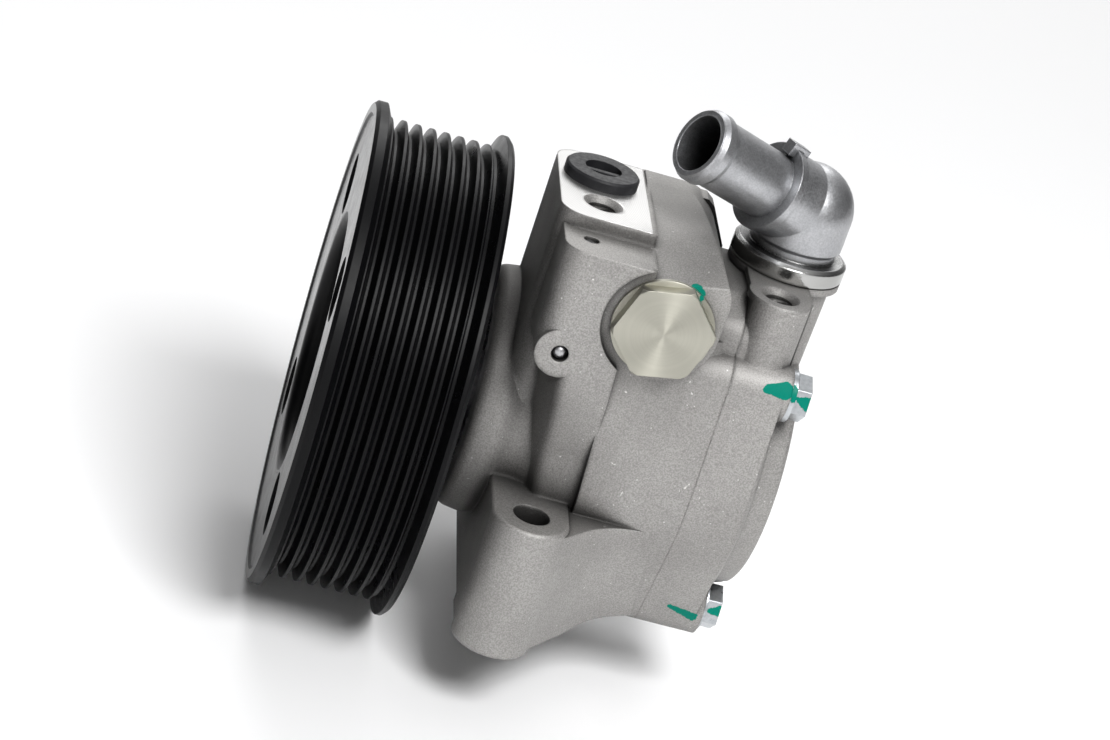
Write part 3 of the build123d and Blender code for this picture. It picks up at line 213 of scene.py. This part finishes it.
def casting(name, marks, soft, nicks=(), machined=None):
    """Sand-cast aluminium, with painted shade darkening its corners. The tables at the top say what
    the lists hold.
    """
    s = Shader(name)
    s.set("Specular IOR Level", 0.35)
    grain = s.noise(2700, 2.0, 0.6)
    colour = s.mix(s.step(s.noise(60, 4.0), 0.3, 0.72), (0.40, 0.39, 0.378), (0.465, 0.455, 0.441))
    colour = s.mix(s.step(grain, 0.30, 0.70), s.mix(0.52, colour, (0.12, 0.115, 0.11)), colour)
    # bright specks: small dings, and painted glints on the cast grain
    colour = s.mix(s.step(s.noise(1100, 1.0, 0.5), 0.768, 0.79), colour, (0.72, 0.71, 0.70))
    for start, end in nicks:
        colour = s.mix(s.stroke(start, end, *NICK_WIDTHS), colour, (0.70, 0.69, 0.67))
    # painted shade: the colour darkens in closed corners and where other pieces come near
    near = s.step(s.openness(0.011), 0.12, 0.88)
    wide = s.step(s.openness(0.030, own=False), 0.20, 0.95)
    for free, depth in ((wide, 0.88), (near, 0.80)):
        colour = s.mix(free, s.mix(depth, colour, PAINTED_SHADE), colour)
    rough = s.step(grain, 0.25, 0.75, 0.52, 0.68)
    metallic = 0.72
    if machined:
        face = s.step(s.maths("ABSOLUTE", s.axis("Z", "Normal")), 0.985, 0.998)
        for letter, least, most in zip("XYZ", *machined):
            for operation, limit in (("GREATER_THAN", least), ("LESS_THAN", most)):
                face = s.maths("MULTIPLY", face, s.maths(operation, s.axis(letter), limit))
        lines = s.node("TexWave", {"Vector": s.place.outputs["Object"], "Scale": 700,
                                   "Distortion": 1.0, "Detail": 2.0, "Detail Scale": 1.0},
                       wave_type="RINGS", rings_direction="Z").outputs["Fac"]
        cut = s.mix(s.step(lines, 0.2, 0.8), (0.50, 0.497, 0.49), (0.56, 0.556, 0.55))
        # painted shade: the cut face darkens in its corners
        cut = s.mix(near, s.mix(0.7, cut, (0.05, 0.05, 0.05)), cut)
        colour = s.mix(face, colour, cut)
        rough = s.between(face, rough, 0.36)
        metallic = s.maths("MULTIPLY_ADD", face, 0.20, metallic)
    colour, bare = s.painted(colour, marks)
    s.set("Base Color", colour)
    s.set("Roughness", rough)
    s.set("Metallic", s.maths("MULTIPLY", bare, metallic))
    radius = CAST_EDGE
    for centre, reach, more in soft:
        inside = s.step(s.length(s.offset(centre)), reach, reach * 0.6)
        radius = s.maths("MULTIPLY_ADD", inside, more, radius)
    s.relief(radius, (s.noise(420), 0.10, 0.0003), (grain, 0.60, 0.00012))
    return s.material


def enamel():
    """Black enamel with a little dust, duller in the pulley's grooves than on its level faces."""
    s = Shader("black enamel")
    s.set("Specular IOR Level", 0.13)
    dust = s.noise(140, 5.0, 0.65)
    colour = s.mix(s.step(dust, 0.55, 0.85), (0.0025, 0.0025, 0.003), (0.007, 0.007, 0.0075))
    s.set("Base Color", colour)
    level = s.step(s.maths("ABSOLUTE", s.axis("X", "Normal")), 0.90, 0.98)
    dull, glossy = s.step(dust, 0.3, 0.8, 0.36, 0.46), s.step(dust, 0.3, 0.8, 0.17, 0.26)
    s.set("Roughness", s.between(level, dull, glossy))
    s.relief(EDGE, (s.noise(900, 2.0), 0.02, 0.00005))
    return s.material


def metal(name, dark, bright, rough, grain, bump=0.1, stretch=(1, 1, 1), marks=()):
    """Turned, ground or plated metal. stretch above 1 makes the grain shorter along that axis."""
    s = Shader(name)
    fine = s.noise(grain, 3.0, 0.6, s.vector("MULTIPLY", s.place.outputs["Object"], stretch))
    blend = s.maths("MULTIPLY_ADD", fine, 0.5, s.maths("MULTIPLY", s.noise(70, 4.0), 0.5))
    colour = s.mix(s.step(blend, 0.35, 0.65), dark, bright)
    bare = 1.0
    if marks:
        colour, bare = s.painted(colour, marks)
    s.set("Base Color", colour)
    s.set("Metallic", bare)
    s.set("Roughness", s.step(blend, 0.3, 0.7, *rough))
    s.relief(EDGE, (fine, bump, 0.0001))
    return s.material


def turned_plug():
    """Faced end of the hex plug: fine circles round the plug's axis, with a sheen across them."""
    s = Shader("turned plug")
    x, z = VALVE_AXIS
    outward = s.vector("MULTIPLY", s.offset((x, 0.0, z)), (1, 0, 1))
    world = s.node("VectorTransform", {"Vector": outward}, vector_type="VECTOR",
                   convert_from="OBJECT", convert_to="WORLD").outputs[0]
    s.set("Anisotropic", 0.80)
    s.set("Tangent", s.vector("NORMALIZE", world))
    ring = s.node("CombineXYZ", {"X": s.length(outward)}).outputs[0]
    circles = s.noise(5200, 3.0, 0.7, ring)
    bands = s.noise(700, 2.0, 0.6, ring)
    blend = s.maths("MULTIPLY_ADD", circles, 0.6, s.maths("MULTIPLY", bands, 0.4))
    colour = s.mix(s.step(blend, 0.3, 0.7), (0.405, 0.395, 0.34), (0.465, 0.455, 0.395))
    colour, bare = s.painted(colour, PLUG_MARKS)
    s.set("Base Color", colour)
    s.set("Metallic", bare)
    s.set("Roughness", s.step(blend, 0.3, 0.7, 0.40, 0.46))
    s.relief(EDGE, (circles, 0.04, 0.00004))
    return s.material


def tube_aluminium():
    """Bead-blasted elbow, polished at its collar and the rings, with painted shade in its bore."""
    s = Shader("tube aluminium")
    fine = s.noise(2300, 2.0, 0.6)
    streak = s.noise(160, 4.0, 0.6)
    collar = s.step(s.axis("Z"), 0.0590, 0.0560)
    colour = s.mix(s.step(streak, 0.3, 0.7), (0.46, 0.465, 0.48), (0.54, 0.545, 0.56))
    colour = s.mix(s.step(fine, 0.3, 0.7), s.mix(0.3, colour, (0.12, 0.12, 0.13)), colour)
    colour = s.mix(collar, colour, (0.42, 0.42, 0.41))
    # painted shade: darker where the tube closes in, as inside the bore
    free = s.step(s.openness(0.016), 0.22, 0.80)
    s.set("Base Color", s.mix(free, s.mix(0.9, colour, (0.006, 0.006, 0.007)), colour))
    s.set("Roughness", s.between(collar, s.step(fine, 0.3, 0.7, 0.34, 0.44), 0.17))
    s.set("Metallic", s.maths("MULTIPLY_ADD", collar, 0.08, 0.92))
    s.relief(0.0005, (fine, 0.25, 0.0001), (streak, 0.10, 0.0006))
    return s.material


def moulded(name, clean, dusty, rough):
    """Moulded plastic or rubber."""
    s = Shader(name)
    s.set("Specular IOR Level", 0.3)
    fine = s.noise(900, 3.0)
    s.set("Base Color", s.mix(s.step(s.noise(120, 5.0, 0.6), 0.45, 0.8), clean, dusty))
    s.set("Roughness", s.step(fine, 0.3, 0.7, *rough))
    s.relief(EDGE, (fine, 0.10, 0.0001))
    return s.material


# Finishes of the CAD nodes, by the material slot in the record. The rear cover has its own.
steel = metal("ground steel", (0.30, 0.30, 0.31), (0.50, 0.50, 0.51), (0.24, 0.36), 2400,
              bump=0.05, stretch=(2, 1, 1))
tapped = metal("tapped aluminium", (0.06, 0.058, 0.055), (0.17, 0.165, 0.16), (0.34, 0.50), 900)
cast_cover = casting("cast cover", COVER_MARKS, COVER_SOFT)
by_slot = {
    "cast_aluminium": casting("cast housing", HOUSING_MARKS, HOUSING_SOFT, NICKS, PORT_FACE),
    "tube_aluminium": tube_aluminium(),
    "black_paint": enamel(),
    "steel": steel,
    "zinc_steel": metal("zinc plate", (0.38, 0.40, 0.42), (0.54, 0.56, 0.58), (0.24, 0.38), 900,
                        marks=BOLT_MARKS),
    "plug_metal": turned_plug(),
    "bronze": metal("bearing bronze", (0.40, 0.26, 0.12), (0.62, 0.42, 0.20), (0.28, 0.42), 800),
    "black_plastic": moulded("black plastic", (0.014, 0.014, 0.016), (0.045, 0.045, 0.048),
                             (0.42, 0.60)),
    "rubber": moulded("seal rubber", (0.018, 0.018, 0.018), (0.04, 0.04, 0.04), (0.55, 0.75)),
}
for entry in frame["record"]["subparts"]:
    finish = cast_cover if entry["node"] == "rear_cover" else by_slot[entry["material_slot"]]
    data = nodes[entry["node"]].data
    data.materials.clear()
    data.materials.append(finish)


def placed(name, data):
    """A new object in the scene."""
    made = bpy.data.objects.new(name, data)
    bpy.context.scene.collection.objects.link(made)
    return made


def shaped(name, shape, finish):
    """A new object from a bmesh, which is used up."""
    mesh = bpy.data.meshes.new(name)
    shape.to_mesh(mesh)
    shape.free()
    mesh.materials.append(finish)
    return placed(name, mesh)


# Wound pieces: threads of the tapped holes that show, and the two springs
def wound(name, rings, finish, body):
    """A closed strip through rings of points, which rides on body."""
    made = bmesh.new()
    loops = [[made.verts.new(point) for point in ring] for ring in rings]
    sides = len(loops[0])
    for a, b in zip(loops, loops[1:]):
        for k in range(sides):
            made.faces.new((a[k], b[k], b[(k + 1) % sides], a[(k + 1) % sides]))
    made.faces.new(loops[0])
    made.faces.new(loops[-1][::-1])
    bmesh.ops.recalc_face_normals(made, faces=made.faces)
    piece = shaped(name, made, finish)
    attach(piece, body)
    return piece


def thread(name, centre, top):
    """The ridge of an M8 thread, wound down the wall of a hole along Z."""
    pitch, turns, per_turn = 0.00125, 8, 48
    wall = 0.0034
    root, crest = wall + 0.00002, wall - 0.0006
    section = ((root, 0.44), (crest, 0.09), (crest, -0.09), (root, -0.44))  # radius, pitches up
    rings = []
    for i in range(turns * per_turn + 1):
        angle = 2 * math.pi * i / per_turn
        height = top - pitch * (i / per_turn + 0.5)
        rings.append([(centre[0] + radius * math.cos(angle), centre[1] + radius * math.sin(angle),
                       height + along * pitch) for radius, along in section])
    wound(name, rings, tapped, "housing_body")


def spring(node, body, centre, near, far, coil, wire, turns):
    """A round wire coil along Y in place of a CAD node. coil and wire are radii.
    """
    per_turn, around = 40, 12
    rings = []
    for i in range(turns * per_turn + 1):
        angle = 2 * math.pi * i / per_turn
        out = Vector((math.cos(angle), 0, math.sin(angle)))
        height = near + wire + (far - near - 2 * wire) * i / (turns * per_turn)
        core = Vector((centre[0], height, centre[1])) + out * coil
        rings.append([core + out * (wire * math.cos(turn)) + Vector((0, wire * math.sin(turn), 0))
                      for turn in (2 * math.pi * k / around for k in range(around))])
    piece = wound(node + "_coil", rings, steel, body)
    faces = piece.data.polygons
    faces.foreach_set("use_smooth", [len(face.vertices) == 4 for face in faces])
    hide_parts(node)
    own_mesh(piece)


thread("port_thread", centre=(0.0549, -0.0172), top=0.0588)
thread("cover_thread", centre=(0.1005, -0.0237), top=0.0508)
spring("spool_spring", "housing_body", VALVE_AXIS,
       near=-0.0104, far=0.0070, coil=0.0054, wire=0.0007, turns=6)
spring("relief_spring", "valve_spool", VALVE_AXIS,
       near=-0.0202, far=-0.0129, coil=0.0023, wire=0.0004, turns=4)


def stage_floor(height):
    made = bmesh.new()
    bmesh.ops.create_grid(made, x_segments=2, y_segments=2, size=6.0)
    s = Shader("studio floor")
    s.set("Base Color", s.mix(s.noise(3.0), (0.945, 0.945, 0.95), (0.955, 0.955, 0.96)))
    s.set("Roughness", 0.8)
    floor = shaped("floor", made, s.material)
    floor.location = (0, 0, height)


def softbox(name, direction, distance, size, power):
    """An area light that faces the part's middle from a direction."""
    data = bpy.data.lights.new(name, "AREA")
    data.shape = "RECTANGLE"
    data.size, data.size_y = size
    data.energy = power
    lamp = placed(name, data)
    away = Vector(direction).normalized()
    lamp.location = (cad_low + cad_high) / 2 + away * distance
    lamp.rotation_euler = (-away).to_track_quat("-Z", "Y").to_euler()


def surround():
    """White light from all round the shaft, which falls off towards both of its ends."""
    world = bpy.data.worlds.new("studio")
    bpy.context.scene.world = world
    world.use_nodes = True
    s = Nodes(world.node_tree)
    along = s.node("SeparateXYZ", {0: s.place.outputs["Generated"]}).outputs["X"]
    aside = s.maths("ABSOLUTE", s.maths("ADD", along, -0.10))
    background = world.node_tree.nodes["Background"]
    background.inputs["Color"].default_value = (1.0, 1.0, 1.0, 1)
    s.feed(background.inputs["Strength"], s.step(aside, 0.15, 0.75, 0.66, 0.03))


def photo_camera():
    """The camera that was fitted to the photo's ellipses and edges, on a 36 mm wide sensor."""
    focal_pixels, photo_pixels = 2715.24, 1110
    lens = bpy.data.cameras.new("camera")
    lens.sensor_fit = "HORIZONTAL"
    lens.sensor_width = 36.0
    lens.lens = focal_pixels / photo_pixels * lens.sensor_width
    lens.clip_start = 0.01
    lens.clip_end = 30.0
    back = Vector((-0.1523, -0.9059, 0.3953)).normalized()
    up = back.cross(Vector((0.9544, -0.0308, 0.2970))).normalized()
    right = up.cross(back).normalized()
    where = right * 0.05964 - up * 0.00733 + back * 0.660
    camera = placed("camera", lens)
    turned = Matrix((right, up, back)).transposed().to_4x4()
    camera.matrix_world = Matrix.Translation(where) @ turned
    bpy.context.scene.camera = camera


stage_floor(cad_low.z - 0.0005)
softbox("key", (0.20, -0.60, 0.77), distance=1.3, size=(0.5, 0.5), power=16)
softbox("front", (-0.25, -1.0, 0.30), distance=1.6, size=(0.7, 0.5), power=1.2)
softbox("behind", (0.0, 0.85, 0.70), distance=2.2, size=(1.8, 1.0), power=18)
surround()
photo_camera()
bpy.context.scene.view_settings.view_transform = "Standard"
